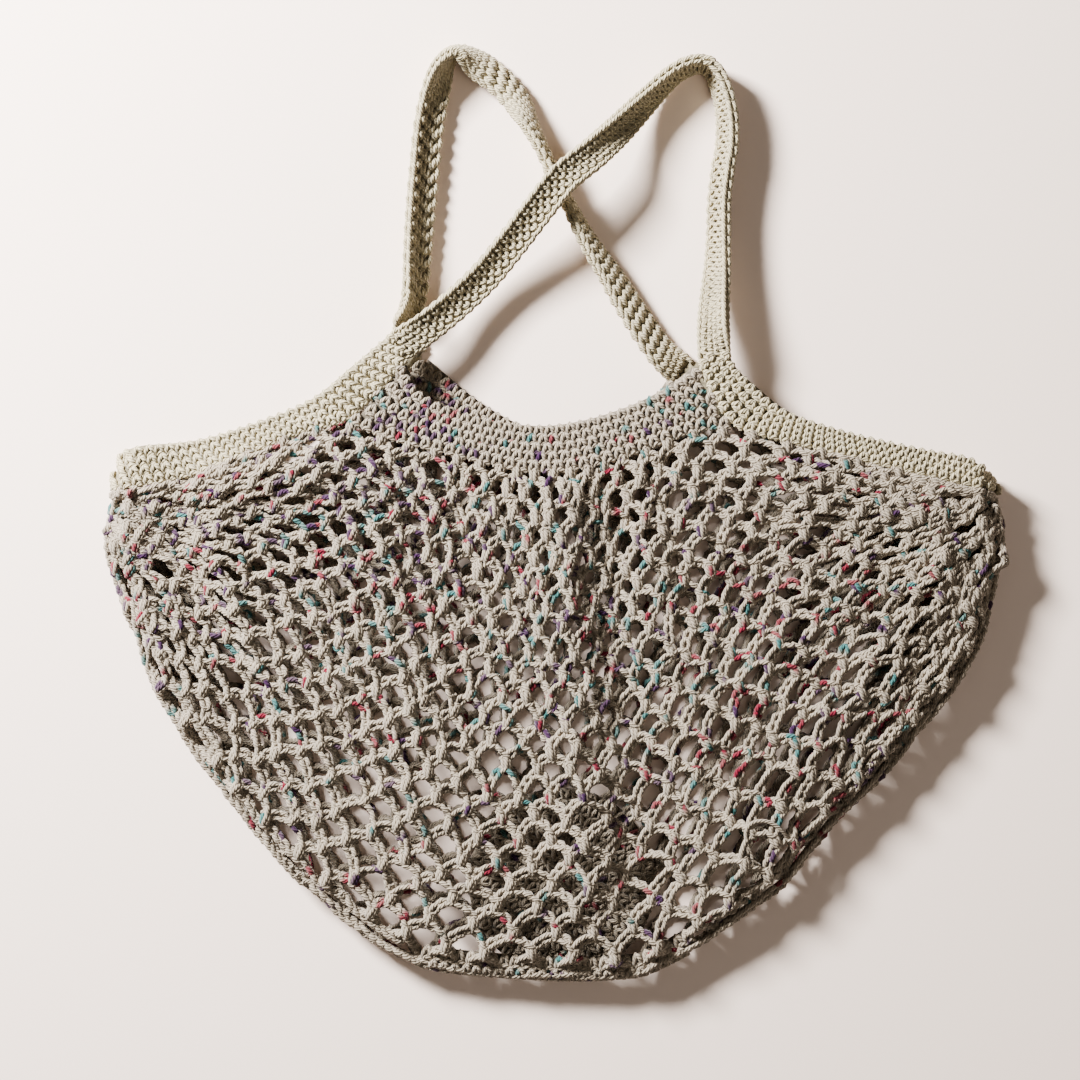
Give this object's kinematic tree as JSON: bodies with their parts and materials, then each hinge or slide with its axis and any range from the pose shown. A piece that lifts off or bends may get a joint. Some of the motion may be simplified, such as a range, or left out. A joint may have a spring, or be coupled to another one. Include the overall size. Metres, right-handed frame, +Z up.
{
  "type": "mesh market bag",
  "caption": "Crocheted cotton net bag with close side bands and two long handles, lying flat on its back.",
  "frame": {"origin": "on the surface the bag lies on, below the middle of its outline", "axes": "+X across the bag to the right as seen from above, +Y from the base towards the handles, +Z up from the surface"},
  "size_m": [0.4566, 0.4708, 0.0278],
  "materials": {
    "cream_cotton": "matt close crochet in plied cotton yarn",
    "speckled_cotton": "matt open crochet in plied cotton yarn with short dyed flecks"
  },
  "bodies": {
    "root": {"net_body": "speckled_cotton", "neck_band_front": "speckled_cotton", "neck_band_back": "speckled_cotton", "side_band_left": "cream_cotton", "side_band_right": "cream_cotton", "handle_front": "cream_cotton", "handle_back": "cream_cotton"}
  },
  "joints": []
}
